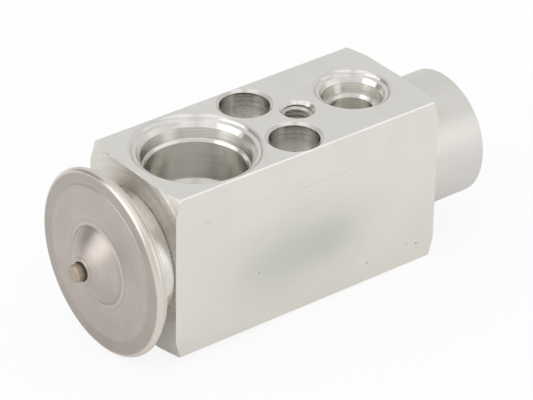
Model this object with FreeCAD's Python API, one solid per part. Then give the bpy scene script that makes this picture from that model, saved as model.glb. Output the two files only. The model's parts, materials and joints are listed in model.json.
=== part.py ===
import FreeCAD, Part
import math
import os

# Thermostatic expansion valve of the block type. All sizes are in millimetres.
# The stem's axis is the X axis, and +X points from the power head to the adjusting screw.
# +Z is the face with the pipe ports. The origin is where the stem's axis crosses the plane of the two
# mounting bolts. The model is drawn by stations: a station is the distance along X from the block's
# head-side end, and every piece is moved into the frame of the origin when it is saved.

# Block and boss, one machined piece
block_length = 65.0
block_width = 28.0
block_height = 36.0
long_edge_break = 0.25
end_circle_radius = 19.8
corner_cut_depth = 1.2
boss_radius = 13.2
boss_end_chamfer = 0.6

# Ports: the same stepped mouth on both faces, sunk in from the face
mouth_flare_width = 1.0
mouth_flare_depth = 0.7
mouth_flare_bulge = 0.14
mouth_ring_width = 0.7
mouth_ring_depth = 1.0
seal_seat_depth = 1.9
seal_wall_taper = 0.65
ledge_depth = 3.95
ledge_chamfer = 0.4
ledge_chamfer_depth = 0.65
drill_point_slope = math.tan(math.radians(59))

# Suction ports, one on each face, with a passage right through
suction_station = 15.3
suction_bore_radius = 9.95
suction_seat_width = 1.2
suction_mouth_width = 2.45
suction_bore_depth = 12.9
suction_passage_radius = 7.5

# Liquid ports: the inlet in the +Z face and the outlet in the -Z face
liquid_port_pitch = 38.8
liquid_port_offset = 8.3
liquid_bore_radius = 4.5
liquid_seat_width = 1.5
liquid_mouth_width = 2.3
liquid_bore_depth = 9.5
inlet_passage_radius = 2.5
outlet_passage_radius = 2.3

# Mounting bolt holes and the threaded hole that clamps the pipes
bolt_station = 33.2
bolt_spacing = 16.0
bolt_hole_radius = 2.75
bolt_head_radius = 5.1
bolt_head_depth = 5.0
bolt_mouth_width = 0.75
bolt_mouth_depth = 0.45
stud_offset = 7.0
stud_radius = 3.0
stud_hole_depth = 11.0
stud_mouth_chamfer = 0.65

# Power head, clamped at its rim round the diaphragm
head_gap = 0.05
spigot_radius = 9.95
spigot_length = 4.0
spigot_end_chamfer = 0.35
socket_end_gap = 0.3
collar_overlap = 1.1
collar_length = 4.95
collar_fillet = 0.5
collar_end_chamfer = 0.12
flange_land = 0.895
flange_edge_step = 0.175
flange_back_chamfer = 0.2
rim_radius = 19.4
rim_weld_width = 0.5
cap_thickness = 0.95
cap_step_inset = 3.15
cap_step_width = 0.3
cap_step_height = 0.15
cap_rise = 0.4
dome_foot_radius = 8.9
dome_foot_width = 1.15
dome_foot_height = 0.5
dome_foot_bulge = 0.14
dome_height = 4.0
dome_bulge = 0.31
dome_nose_land = 0.85
dome_nose_round = 0.4
plug_radius = 1.85
plug_clearance = 0.2
plug_proud = 1.7
plug_edge_round = 0.25
plug_shoulder_thickness = 0.8
diaphragm_thickness = 0.15
diaphragm_clamp_width = 2.5
ridge_height = 0.3
ridge_width = 1.2
ridge_margin = 1.5
ridge_pitch = 1.7
ridge_count = 2
plate_margin = 1.3
plate_thickness = 1.45
plate_hub_wall = 2.08
plate_hub_clearance = 0.4
hub_end_recess = 2.6
bowl_wall_clearance = 0.7

# Ring seal between the head and the block
head_gland_depth = 1.5
head_gland_width = 2.55
ring_clearance = 0.02

# Stem and its seal
travel = 0.8
stop_allowance = 0.1
contact_gap = 0.05
thread_clearance = 0.05
running_clearance = 0.05
rod_radius = 2.5
rod_end_chamfer = 0.4
rod_socket_depth = 2.9
pressure_hole_clearance = 1.1
seal_pocket_width = 1.75
backing_thickness = 0.8
retainer_thickness = 0.5
retainer_recess = 1.11
retainer_tooth_clearance = 0.4
retainer_slot_count = 8
retainer_slot_width = 0.5
retainer_rim_width = 0.55
guide_length = 6.0
pin_radius = 1.2
pin_nose_step = 0.3
pin_nose_lead = 1.7
gallery_clearance = 0.75
gallery_margin = 0.5

# Valve seat, ball and carrier
seat_length = 2.6
seat_wall = 1.2
seat_countersink = 0.6
orifice_annulus = 0.7
ball_overhang = 0.6
carrier_ball_drop = 0.9
carrier_wall = 1.7
carrier_nose_length = 2.5
carrier_flange_margin = 0.25
carrier_flange_thickness = 1.2
carrier_pilot_length = 2.6
carrier_chamfer = 0.35
chamber_clearance = 0.9
damper_thickness = 0.25
damper_ring_gap = 0.7
damper_leg_width = 1.6
damper_leg_length = 3.4
damper_leg_count = 3

# Superheat spring and its seat
wire_radius = 0.55
coil_radius = 3.9
coil_turns = 5
coil_pilot_clearance = 0.35
spring_length = 9.2
washer_clearance = 0.2
washer_thickness = 1.1
washer_pilot_length = 1.0
washer_pilot_chamfer = 0.3

# Adjusting screw and its ring seal
screw_nose_step = 0.4
screw_nose_length = 1.75
seal_bore_step = 0.8
screw_land_width = 0.4
screw_groove_width = 1.8
screw_ring_section_radius = 0.7
screw_neck_step = 0.4
screw_neck_length = 2.2
screw_thread_step = 0.55
screw_thread_length = 3.6
screw_thread_chamfer = 0.4
screw_pitch = 1.0
screw_end_allowance = 0.3
screw_recess = 1.54
hex_across_flats = 6.0
hex_depth = 5.0
hex_sides = 6

# Height of a quarter circle's arc over its chord, for a radius of 1
quarter_bulge = 1 - math.sqrt(0.5)

# Block and ports, worked out from the sizes above
half_height = block_height / 2
half_width = block_width / 2
suction_seat_radius = suction_bore_radius + suction_seat_width
liquid_seat_radius = liquid_bore_radius + liquid_seat_width
liquid_inlet_station = suction_station + liquid_port_pitch
liquid_outlet_station = liquid_inlet_station - liquid_port_offset
stud_station = bolt_station + stud_offset

# Power head, worked out forwards from the block's end
head_gland_radius = spigot_radius + head_gland_width
collar_radius = head_gland_radius + collar_overlap
spigot_end = spigot_length - head_gap
socket_end = spigot_end + socket_end_gap
socket_radius = spigot_radius + thread_clearance
rim_round = cap_thickness + diaphragm_thickness / 2
flange_back = -head_gap - collar_length
flange_back_radius = rim_radius - rim_round - flange_edge_step
diaphragm_plane = flange_back - flange_land - rim_round
diaphragm_radius = rim_radius - rim_weld_width
cap_back = diaphragm_plane - diaphragm_thickness / 2
diaphragm_back = diaphragm_plane + diaphragm_thickness / 2
cap_front = cap_back - cap_thickness
step_front = cap_front - cap_step_height
dome_foot = step_front - cap_rise
nose_front = dome_foot - dome_height
nose_back = nose_front + cap_thickness
plug_hole_radius = plug_radius + plug_clearance
dome_nose_radius = plug_hole_radius + dome_nose_land
bowl_mouth_radius = diaphragm_radius - diaphragm_clamp_width
last_ridge_radius = bowl_mouth_radius - ridge_margin
first_ridge_radius = last_ridge_radius - ridge_pitch * (ridge_count - 1)
plate_radius = first_ridge_radius - plate_margin
plate_front = diaphragm_back + contact_gap
plate_back = plate_front + plate_thickness
bowl_floor = plate_back + travel + stop_allowance
bowl_floor_radius = plate_radius + bowl_wall_clearance
rod_socket_radius = rod_radius + ring_clearance
plate_hub_radius = rod_socket_radius + plate_hub_wall
hub_bore_radius = plate_hub_radius + plate_hub_clearance
hub_end = spigot_end - hub_end_recess
rod_start = hub_end - rod_socket_depth
head_ring_section_radius = (head_gland_depth + head_gap) / 2 - ring_clearance

# Rod, its seal and its guide
guide_radius = rod_radius + running_clearance
pressure_hole_radius = rod_radius + pressure_hole_clearance
seal_pocket_radius = guide_radius + seal_pocket_width
rod_ring_section_radius = (seal_pocket_width - ring_clearance) / 2
retainer_start = suction_station + suction_passage_radius + retainer_recess
retainer_end = retainer_start + retainer_thickness
backing_start = retainer_end + ring_clearance
backing_end = backing_start + backing_thickness
rod_ring_station = backing_end + ring_clearance + rod_ring_section_radius
pocket_end = rod_ring_station + rod_ring_section_radius + ring_clearance
guide_end = pocket_end + guide_length
rod_end = guide_end - travel - stop_allowance
pin_bore_radius = pin_radius + running_clearance
pin_nose_radius = pin_radius - pin_nose_step

# Gallery, seat, ball and carrier
gallery_radius = pin_bore_radius + gallery_clearance
gallery_start = liquid_outlet_station - outlet_passage_radius - gallery_margin
seat_start = liquid_outlet_station + outlet_passage_radius + gallery_margin
chamber_start = seat_start + seat_length
seat_edge = chamber_start - seat_countersink
orifice_radius = pin_nose_radius + orifice_annulus
seat_radius = orifice_radius + seat_countersink + seat_wall
ball_radius = orifice_radius + ball_overhang
ball_station = seat_edge + math.sqrt(ball_radius**2 - orifice_radius**2) + contact_gap
pin_end = ball_station - ball_radius
carrier_radius = ball_radius + carrier_wall
carrier_front = ball_station + carrier_ball_drop
flange_front = carrier_front + carrier_nose_length
spring_start = flange_front + carrier_flange_thickness

# Spring, its seat and the chamber round them
coil_outer_radius = coil_radius + wire_radius
coil_pilot_radius = coil_radius - wire_radius - coil_pilot_clearance
carrier_flange_radius = coil_outer_radius + carrier_flange_margin
chamber_radius = carrier_flange_radius + chamber_clearance
damper_ring_radius = chamber_radius - damper_ring_gap
washer_radius = chamber_radius - washer_clearance
spring_end = spring_start + spring_length
washer_back = spring_end + washer_thickness

# Adjusting screw and the bores round it, out to the end of the boss
seal_bore_radius = chamber_radius + seal_bore_step
screw_thread_radius = seal_bore_radius + screw_thread_step
thread_bore_radius = screw_thread_radius + thread_clearance
land_radius = seal_bore_radius - running_clearance
screw_nose_radius = chamber_radius - screw_nose_step
screw_neck_radius = seal_bore_radius - screw_neck_step
screw_ring_radius = seal_bore_radius - ring_clearance - screw_ring_section_radius
screw_groove_radius = screw_ring_radius - screw_ring_section_radius - ring_clearance
screw_start = washer_back + contact_gap
land_start = screw_start + screw_nose_length
groove_start = land_start + screw_land_width
groove_end = groove_start + screw_groove_width
land_end = groove_end + screw_land_width
thread_start = land_end + screw_neck_length
screw_end = thread_start + screw_thread_length
seal_bore_start = land_start - screw_pitch - screw_end_allowance
thread_bore_start = thread_start - screw_pitch - screw_end_allowance
boss_end = screw_end + screw_recess


class Section:
    """Half section of a turned piece, as lines and arcs through (station, radius) points."""

    def __init__(self, station, radius):
        self.first = FreeCAD.Vector(station, 0, radius)
        self.last = self.first
        self.edges = []

    def line(self, station, radius):
        """Adds a straight run to the given point."""
        end = FreeCAD.Vector(station, 0, radius)
        self.edges.append(Part.LineSegment(self.last, end).toShape())
        self.last = end
        return self

    def lines(self, *points):
        """Adds straight runs through several points."""
        for station, radius in points:
            self.line(station, radius)
        return self

    def run(self, station, radius, bulge):
        """Adds a run that bulges sideways by the given height, or a straight one for no bulge."""
        if bulge == 0:
            return self.line(station, radius)
        end = FreeCAD.Vector(station, 0, radius)
        chord = end - self.last
        side = FreeCAD.Vector(-chord.z, 0, chord.x).normalize()
        middle = self.last + chord * 0.5 + side * bulge
        self.edges.append(Part.Arc(self.last, middle, end).toShape())
        self.last = end
        return self

    def turned(self):
        """Closes the section and turns it about the stem's axis."""
        self.line(self.first.x, self.first.z)
        face = Part.Face(Part.Wire(self.edges))
        return face.revolve(FreeCAD.Vector(0, 0, 0), FreeCAD.Vector(1, 0, 0), 360)


def turned(*points):
    """A piece turned about the stem's axis whose section has only straight runs."""
    return Section(*points[0]).lines(*points[1:]).turned()


def rod(radius, start, end):
    """A plain cylinder on the stem's axis."""
    axis = FreeCAD.Vector(1, 0, 0)
    return Part.makeCylinder(radius, end - start, FreeCAD.Vector(start, 0, 0), axis)


def ring(section_radius, middle_radius, station):
    """A ring seal of round section about the stem's axis."""
    axis = FreeCAD.Vector(1, 0, 0)
    return Part.makeTorus(middle_radius, section_radius, FreeCAD.Vector(station, 0, 0), axis)


def sunk(tool, station, across, face):
    """Puts a tool drawn by depth along X into the +Z face (face 1) or the -Z face (face -1)."""
    tool.rotate(FreeCAD.Vector(0, 0, 0), FreeCAD.Vector(0, 1, 0), 90 * face)
    tool.translate(FreeCAD.Vector(station, across, half_height * face))
    return tool


def port_tool(mouth_width, seat, bore, bore_depth, passage):
    """Cutter for one port: rounded mouth, ring, tapered seal seat, ledge, bore and passage, by depth."""
    mouth = seat + mouth_width
    flare = mouth - mouth_flare_width
    point_depth = bore_depth + (bore - passage) / drill_point_slope
    section = Section(0, 0).line(0, mouth)
    section.run(mouth_flare_depth, flare, -mouth_flare_bulge)
    section.lines(
        (mouth_ring_depth, flare - mouth_ring_width),
        (seal_seat_depth, seat),
        (ledge_depth, seat - seal_wall_taper),
        (ledge_depth, bore + ledge_chamfer),
        (ledge_depth + ledge_chamfer_depth, bore),
        (bore_depth, bore),
        (point_depth, passage),
        (half_height, passage),
        (half_height, 0),
    )
    return section.turned()


def port_tools():
    """The four ports: suction on both faces, liquid in at +Z and liquid out at -Z."""
    suction = (suction_mouth_width, suction_seat_radius, suction_bore_radius, suction_bore_depth)
    liquid = (liquid_mouth_width, liquid_seat_radius, liquid_bore_radius, liquid_bore_depth)
    return [
        sunk(port_tool(*suction, suction_passage_radius), suction_station, 0, 1),
        sunk(port_tool(*suction, suction_passage_radius), suction_station, 0, -1),
        sunk(port_tool(*liquid, inlet_passage_radius), liquid_inlet_station, 0, 1),
        sunk(port_tool(*liquid, outlet_passage_radius), liquid_outlet_station, 0, -1),
    ]


def bolt_tool():
    """Cutter for one mounting bolt: chamfered head recess and a hole through to the far face."""
    return turned(
        (0, 0),
        (0, bolt_head_radius + bolt_mouth_width),
        (bolt_mouth_depth, bolt_head_radius),
        (bolt_head_depth, bolt_head_radius),
        (bolt_head_depth, bolt_hole_radius),
        (block_height, bolt_hole_radius),
        (block_height, 0),
    )


def stud_tool():
    """Cutter for the blind threaded hole, with a chamfered mouth and a drill point."""
    return turned(
        (0, 0),
        (0, stud_radius + stud_mouth_chamfer),
        (stud_mouth_chamfer, stud_radius),
        (stud_hole_depth, stud_radius),
        (stud_hole_depth + stud_radius / drill_point_slope, 0),
    )


def stem_bores():
    """Cutter for everything on the stem's axis, from the head's socket to the screw's thread."""
    return turned(
        (0, 0),
        (0, head_gland_radius),
        (head_gland_depth, head_gland_radius),
        (head_gland_depth, socket_radius),
        (socket_end, socket_radius),
        (socket_end, pressure_hole_radius),
        (suction_station, pressure_hole_radius),
        (suction_station, seal_pocket_radius),
        (pocket_end, seal_pocket_radius),
        (pocket_end, guide_radius),
        (guide_end, guide_radius),
        (guide_end, pin_bore_radius),
        (gallery_start, pin_bore_radius),
        (gallery_start, gallery_radius),
        (seat_start, gallery_radius),
        (seat_start, seat_radius),
        (chamber_start, seat_radius),
        (chamber_start, chamber_radius),
        (seal_bore_start, chamber_radius),
        (seal_bore_start, seal_bore_radius),
        (thread_bore_start, seal_bore_radius),
        (thread_bore_start, thread_bore_radius),
        (boss_end, thread_bore_radius),
        (boss_end, 0),
    )


def valve_body():
    """The block, with both ends turned down at the corners, and the boss in one piece with it."""
    corner = FreeCAD.Vector(0, -half_width, -half_height)
    block = Part.makeBox(block_length, block_width, block_height, corner)
    long_edges = [edge for edge in block.Edges if edge.BoundBox.XLength > corner_cut_depth]
    block = block.makeChamfer(long_edge_break, long_edges)
    corner_reach = math.hypot(half_width, half_height)
    ends = turned(
        (0, 0),
        (0, end_circle_radius),
        (corner_cut_depth, corner_reach),
        (block_length - corner_cut_depth, corner_reach),
        (block_length, end_circle_radius),
        (block_length, 0),
    )
    boss = turned(
        (block_length - corner_cut_depth, 0),
        (block_length - corner_cut_depth, boss_radius),
        (boss_end - boss_end_chamfer, boss_radius),
        (boss_end, boss_radius - boss_end_chamfer),
        (boss_end, 0),
    )
    body = block.common(ends).fuse(boss)
    for tool in port_tools():
        body = body.cut(tool)
    for across in (-bolt_spacing / 2, bolt_spacing / 2):
        body = body.cut(sunk(bolt_tool(), bolt_station, across, 1))
    body = body.cut(sunk(stud_tool(), stud_station, 0, 1))
    return body.cut(stem_bores()).removeSplitter()


def cap_outline():
    """The cap's front from rim to nose, as (station, radius, bulge of the run that ends there)."""
    step_radius = rim_radius - cap_step_inset
    return [
        (cap_front, step_radius + cap_step_width / 2, 0),
        (step_front, step_radius - cap_step_width / 2, 0),
        (dome_foot, dome_foot_radius, 0),
        (dome_foot - dome_foot_height, dome_foot_radius - dome_foot_width, dome_foot_bulge),
        (nose_front + dome_nose_round, dome_nose_radius, -dome_bulge),
        (nose_front, dome_nose_radius - dome_nose_round, -dome_nose_round * quarter_bulge),
    ]


def rim_arc(section, side):
    """Adds a quarter of the rounded rim, from the diaphragm's plane to the front or back."""
    section.run(diaphragm_plane + side * rim_round, rim_radius - rim_round,
                side * rim_round * quarter_bulge)


def head_cap():
    """Pressed cap: flat flange, shallow cone and dome, with the charging hole in its nose."""
    outline = cap_outline()
    section = Section(diaphragm_plane, rim_radius)
    rim_arc(section, -1)
    for station, radius, bulge in outline:
        section.run(station, radius, bulge)
    section.line(nose_front, plug_hole_radius)
    section.line(nose_back, plug_hole_radius)
    next_bulge = 0
    for station, radius, bulge in reversed(outline):
        section.run(station + cap_thickness, radius, -next_bulge)
        next_bulge = bulge
    section.line(cap_back, diaphragm_radius)
    section.line(diaphragm_plane, diaphragm_radius)
    return section.turned()


def charge_plug():
    """Plug that closes the charging hole, with a shoulder inside the dome."""
    front = nose_front - plug_proud
    shoulder_radius = dome_nose_radius - dome_nose_round
    return turned(
        (front, 0),
        (front, plug_radius - plug_edge_round),
        (front + plug_edge_round, plug_radius),
        (nose_back, plug_radius),
        (nose_back, shoulder_radius),
        (nose_back + plug_shoulder_thickness, shoulder_radius),
        (nose_back + plug_shoulder_thickness, 0),
    )


def diaphragm():
    """Thin disc between the cap and the housing, with pressed ridges near its rim."""
    ridges = [first_ridge_radius + ridge_pitch * index for index in range(ridge_count)]
    half = ridge_width / 2
    section = Section(cap_back, 0)
    for radius in ridges:
        section.line(cap_back, radius - half)
        section.run(cap_back, radius + half, -ridge_height)
    section.line(cap_back, diaphragm_radius)
    section.line(diaphragm_back, diaphragm_radius)
    for radius in reversed(ridges):
        section.line(diaphragm_back, radius + half)
        section.run(diaphragm_back, radius - half, ridge_height)
    section.line(diaphragm_back, 0)
    return section.turned()


def head_housing():
    """Turned lower housing: rim, bowl for the pressure plate, collar and threaded spigot."""
    section = Section(diaphragm_plane, rim_radius)
    rim_arc(section, 1)
    section.lines(
        (diaphragm_plane + rim_round, flange_back_radius),
        (flange_back - flange_back_chamfer, flange_back_radius),
        (flange_back, flange_back_radius - flange_back_chamfer),
        (flange_back, collar_radius + collar_fillet),
    )
    section.run(flange_back + collar_fillet, collar_radius, -collar_fillet * quarter_bulge)
    section.lines(
        (-head_gap - collar_end_chamfer, collar_radius),
        (-head_gap, collar_radius - collar_end_chamfer),
        (-head_gap, spigot_radius),
        (spigot_end - spigot_end_chamfer, spigot_radius),
        (spigot_end, spigot_radius - spigot_end_chamfer),
        (spigot_end, hub_bore_radius),
        (bowl_floor, hub_bore_radius),
        (bowl_floor, bowl_floor_radius),
        (diaphragm_back, bowl_mouth_radius),
        (diaphragm_back, diaphragm_radius),
        (diaphragm_plane, diaphragm_radius),
    )
    return section.turned()


def head_seal_ring():
    """Ring seal in the block's gland, under the collar."""
    middle_radius = spigot_radius + (head_gland_radius - spigot_radius) / 2
    station = -head_gap + ring_clearance + head_ring_section_radius
    return ring(head_ring_section_radius, middle_radius, station)


def pressure_plate():
    """Disc under the diaphragm, whose hub takes the end of the sensing rod."""
    return turned(
        (plate_front, 0),
        (plate_front, plate_radius),
        (plate_back, plate_radius),
        (plate_back, plate_hub_radius),
        (hub_end, plate_hub_radius),
        (hub_end, rod_socket_radius),
        (rod_start, rod_socket_radius),
        (rod_start, 0),
    )


def sensing_rod():
    """Rod from the pressure plate across the suction passage into the guide bore."""
    return turned(
        (rod_start, 0),
        (rod_start, rod_radius - rod_end_chamfer),
        (rod_start + rod_end_chamfer, rod_radius),
        (rod_end - rod_end_chamfer, rod_radius),
        (rod_end, rod_radius - rod_end_chamfer),
        (rod_end, 0),
    )


def rod_seal_ring():
    """Ring seal round the rod, at the bottom of its pocket."""
    middle_radius = guide_radius + rod_ring_section_radius
    return ring(rod_ring_section_radius, middle_radius, rod_ring_station)


def rod_seal_washer():
    """Backing washer in front of the rod's ring seal."""
    outer = rod(seal_pocket_radius - ring_clearance, backing_start, backing_end)
    return outer.cut(rod(guide_radius, backing_start, backing_end))


def rod_seal_retainer():
    """Toothed washer pressed into the pocket, which keeps the seal in place."""
    outer = rod(seal_pocket_radius, retainer_start, retainer_end)
    hole = rod(rod_radius + retainer_tooth_clearance, retainer_start, retainer_end)
    washer = outer.cut(hole)
    slot_end = seal_pocket_radius - retainer_rim_width
    corner = FreeCAD.Vector(retainer_start, -retainer_slot_width / 2, 0)
    for index in range(retainer_slot_count):
        slot = Part.makeBox(retainer_thickness, retainer_slot_width, slot_end, corner)
        turn = 360 * index / retainer_slot_count
        slot.rotate(FreeCAD.Vector(0, 0, 0), FreeCAD.Vector(1, 0, 0), turn)
        washer = washer.cut(slot)
    return washer


def push_pin():
    """Thin pin from the rod through the orifice to the ball."""
    nose_start = seat_start - pin_nose_lead
    return turned(
        (rod_end, 0),
        (rod_end, pin_radius),
        (nose_start - pin_nose_step, pin_radius),
        (nose_start, pin_nose_radius),
        (pin_end, pin_nose_radius),
        (pin_end, 0),
    )


def seat_insert():
    """Seat pressed into the end of the gallery, countersunk on the ball's side."""
    return turned(
        (seat_start, orifice_radius),
        (seat_start, seat_radius),
        (chamber_start, seat_radius),
        (chamber_start, orifice_radius + seat_countersink),
        (seat_edge, orifice_radius),
    )


def valve_ball():
    """Ball that meters the liquid at the seat."""
    return Part.makeSphere(ball_radius, FreeCAD.Vector(ball_station, 0, 0))


def ball_carrier():
    """Carrier with a cone for the ball, a flange for the spring and a pilot inside the coil."""
    cone_point = ball_station + (ball_radius + ring_clearance) * math.sqrt(2)
    pilot_end = spring_start + carrier_pilot_length
    return turned(
        (cone_point, 0),
        (carrier_front, cone_point - carrier_front),
        (carrier_front, carrier_radius - carrier_chamfer),
        (carrier_front + carrier_chamfer, carrier_radius),
        (flange_front, carrier_radius),
        (flange_front, carrier_flange_radius),
        (spring_start, carrier_flange_radius),
        (spring_start, coil_pilot_radius),
        (pilot_end - carrier_chamfer, coil_pilot_radius),
        (pilot_end, coil_pilot_radius - carrier_chamfer),
        (pilot_end, 0),
    )


def carrier_damper():
    """Sprung ring in front of the flange, whose legs rub on the chamber's wall."""
    ring_start = flange_front - damper_thickness
    leg_outer = chamber_radius - running_clearance
    leg_inner = leg_outer - damper_thickness
    damper = rod(damper_ring_radius, ring_start, flange_front)
    wall = rod(leg_outer, ring_start, ring_start + damper_leg_length)
    wall = wall.cut(rod(leg_inner, ring_start, ring_start + damper_leg_length))
    arm = rod(leg_outer, ring_start, flange_front)
    corner = FreeCAD.Vector(ring_start, -damper_leg_width / 2, 0)
    for index in range(damper_leg_count):
        strip = Part.makeBox(damper_leg_length, damper_leg_width, chamber_radius, corner)
        turn = 360 * index / damper_leg_count
        strip.rotate(FreeCAD.Vector(0, 0, 0), FreeCAD.Vector(1, 0, 0), turn)
        damper = damper.fuse(strip.common(arm)).fuse(strip.common(wall))
    hole = rod(carrier_radius + running_clearance, ring_start, flange_front)
    return damper.cut(hole).removeSplitter()


def superheat_spring():
    """Coil spring between the carrier's flange and the spring seat."""
    coil_length = spring_length - 2 * (wire_radius + ring_clearance)
    helix = Part.makeHelix(coil_length / coil_turns, coil_length, coil_radius)
    section = Part.Circle(FreeCAD.Vector(coil_radius, 0, 0), FreeCAD.Vector(0, 1, 0), wire_radius)
    coil = Part.Wire(helix).makePipeShell([Part.Wire(section.toShape())], True, True)
    coil.rotate(FreeCAD.Vector(0, 0, 0), FreeCAD.Vector(0, 1, 0), 90)
    coil.translate(FreeCAD.Vector(spring_start + ring_clearance + wire_radius, 0, 0))
    return coil


def spring_seat():
    """Washer that carries the spring on the screw's nose, with a pilot inside the coil."""
    pilot_start = spring_end - washer_pilot_length
    return turned(
        (pilot_start, 0),
        (pilot_start, coil_pilot_radius - washer_pilot_chamfer),
        (pilot_start + washer_pilot_chamfer, coil_pilot_radius),
        (spring_end, coil_pilot_radius),
        (spring_end, washer_radius),
        (washer_back, washer_radius),
        (washer_back, 0),
    )


def adjusting_screw():
    """Screw in the boss that sets the spring's load, with a ring groove and a hexagon socket."""
    screw = turned(
        (screw_start, 0),
        (screw_start, screw_nose_radius),
        (land_start, screw_nose_radius),
        (land_start, land_radius),
        (groove_start, land_radius),
        (groove_start, screw_groove_radius),
        (groove_end, screw_groove_radius),
        (groove_end, land_radius),
        (land_end, land_radius),
        (land_end, screw_neck_radius),
        (thread_start, screw_neck_radius),
        (thread_start, screw_thread_radius - screw_thread_chamfer),
        (thread_start + screw_thread_chamfer, screw_thread_radius),
        (screw_end - screw_thread_chamfer, screw_thread_radius),
        (screw_end, screw_thread_radius - screw_thread_chamfer),
        (screw_end, 0),
    )
    side_angle = 2 * math.pi / hex_sides
    corner_radius = hex_across_flats / 2 / math.cos(side_angle / 2)
    floor = screw_end - hex_depth
    corners = []
    for index in range(hex_sides + 1):
        across = corner_radius * math.sin(side_angle * index)
        up = corner_radius * math.cos(side_angle * index)
        corners.append(FreeCAD.Vector(floor, across, up))
    hexagon = Part.Face(Part.makePolygon(corners))
    return screw.cut(hexagon.extrude(FreeCAD.Vector(hex_depth, 0, 0)))


def adjusting_screw_seal():
    """Ring seal in the screw's groove."""
    station = groove_start + screw_groove_width / 2
    return ring(screw_ring_section_radius, screw_ring_radius, station)


pieces = [
    valve_body,
    head_cap,
    charge_plug,
    diaphragm,
    head_housing,
    head_seal_ring,
    pressure_plate,
    sensing_rod,
    rod_seal_ring,
    rod_seal_washer,
    rod_seal_retainer,
    push_pin,
    seat_insert,
    valve_ball,
    ball_carrier,
    carrier_damper,
    superheat_spring,
    spring_seat,
    adjusting_screw,
    adjusting_screw_seal,
]

os.makedirs("parts", exist_ok=True)
for piece in pieces:
    shape = piece()
    shape.translate(FreeCAD.Vector(-bolt_station, 0, 0))
    shape.exportStep("parts/" + piece.__name__ + ".step")
    box = shape.BoundBox
    size = (round(box.XLength, 2), round(box.YLength, 2), round(box.ZLength, 2))
    print(piece.__name__, "solids", len(shape.Solids), "valid", shape.isValid(), "size", size,
          "volume", round(shape.Volume, 2))
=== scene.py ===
import json
import math

import bmesh
import bpy
from mathutils import Matrix, Vector


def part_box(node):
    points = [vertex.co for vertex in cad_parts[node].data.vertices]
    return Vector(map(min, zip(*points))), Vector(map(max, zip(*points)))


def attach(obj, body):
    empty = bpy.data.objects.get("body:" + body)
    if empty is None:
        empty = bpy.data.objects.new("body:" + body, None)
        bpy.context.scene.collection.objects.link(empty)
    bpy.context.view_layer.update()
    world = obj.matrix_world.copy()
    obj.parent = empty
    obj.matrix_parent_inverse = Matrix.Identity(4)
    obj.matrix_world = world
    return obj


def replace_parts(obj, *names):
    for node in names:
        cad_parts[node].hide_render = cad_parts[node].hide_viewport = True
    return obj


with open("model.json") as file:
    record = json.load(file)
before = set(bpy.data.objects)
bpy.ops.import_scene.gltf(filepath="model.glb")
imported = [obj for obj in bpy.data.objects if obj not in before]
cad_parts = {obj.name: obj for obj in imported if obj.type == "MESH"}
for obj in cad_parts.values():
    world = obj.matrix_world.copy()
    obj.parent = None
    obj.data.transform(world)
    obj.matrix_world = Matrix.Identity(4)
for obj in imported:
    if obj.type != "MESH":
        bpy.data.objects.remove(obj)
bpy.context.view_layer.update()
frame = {"nodes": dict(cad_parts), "record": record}

bl_info = {
    "name": "Block expansion valve",
    "version": (1, 0, 0),
    "blender": (4, 5, 0),
    "location": "3D View > Sidebar > Valve",
    "description": "Finishes, threads, adjusting screw and studio for a thermostatic expansion valve",
    "category": "Object",
}

MM = 0.001
MOUNTS = {mount["name"]: mount for mount in frame["record"]["mounts"]}
THREADED_HOLE = MOUNTS["stud_hole"]
SCREW_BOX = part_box("adjusting_screw")
BLOCK_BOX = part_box("valve_body")

# The block's plain end, without the boss: the far end of its lowest face
BLOCK_END = max(
    corner.co.x for corner in frame["nodes"]["valve_body"].data.vertices
    if corner.co.z < BLOCK_BOX[0].z + 0.01 * MM
)
RIM_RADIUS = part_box("head_cap")[1].z

# How far the mouths of the bolt holes and of the threaded hole reach from their axes
BOLT_MOUTH_REACH = 6.2 * MM
CLAMP_MOUTH_REACH = 3.8 * MM
# How deep the smooth mouths of the ports and of the holes go
PORT_MOUTH_DEPTH = 4.6 * MM
HOLE_MOUTH_DEPTH = 0.95 * MM
# How far in from its box the block's long faces, port faces and turned ends reach
SIDE_SKIN = 0.3 * MM
LID_SKIN = 0.03 * MM
END_REACH = 1.25 * MM
# How far past the block's end the boss's own finish begins
BOSS_START = 0.05 * MM
# The cap's flat face rolls over into its rim this far inside the edge
RIM_ROUND = 1.0 * MM
# Rings round the dome: radius, strength and colour. The dark ring at 8.0 mm is painted shade in the crease at
# the dome's foot and the pale ring at 8.5 mm a painted highlight just outside it; the others are rings that
# the press left
DOME_RINGS_AND_FOOT_SHADING = (
    (8.0 * MM, 0.22, "head_speck"),
    (8.5 * MM, 0.32, "head_line"),
    (9.9 * MM, 0.16, "head_line"),
    (12.6 * MM, 0.06, "head_speck"),
)

# The lamps: name, direction, direction of the width, distance, width and height in metres, and the setting
# that holds the level
LAMPS = (
    ("left_lamp", (-0.87, 0.25, 0.42), (0.28, 0.96, 0.0), 0.9, 0.75, 0.70, "left_level"),
    ("right_lamp", (0.53, -0.80, 0.22), (0.83, 0.55, 0.0), 1.0, 1.20, 0.80, "right_level"),
    ("first_top_lamp", (-0.35, -0.01, 1.0), (0.62, 0.78, 0.0), 1.1, 1.25, 0.44, "top_level"),
    ("second_top_lamp", (0.08, -0.34, 1.0), (0.62, 0.78, 0.0), 1.1, 1.25, 0.44, "top_level"),
)
# Where the room behind the head is dim: its middle, and how far it is dim all over and in part
DIM_DIRECTION = Vector((-0.58, 0.77, 0.25)).normalized()
DIM_CORE = math.radians(14)
DIM_REACH = math.radians(38)

STEPS_PER_TURN = 96
HEXAGON_SIDES = 6
# How far a thread's foot sinks into the wall that carries it
EMBED = 0.02 * MM
# Gap between the part and the floor
FLOOR_CLEARANCE = 0.02 * MM
# Width of the camera's sensor in millimetres
SENSOR_WIDTH = 36


def at(x, y, z):
    """A place or a reach written in millimetres."""
    return (x * MM, y * MM, z * MM)
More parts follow.
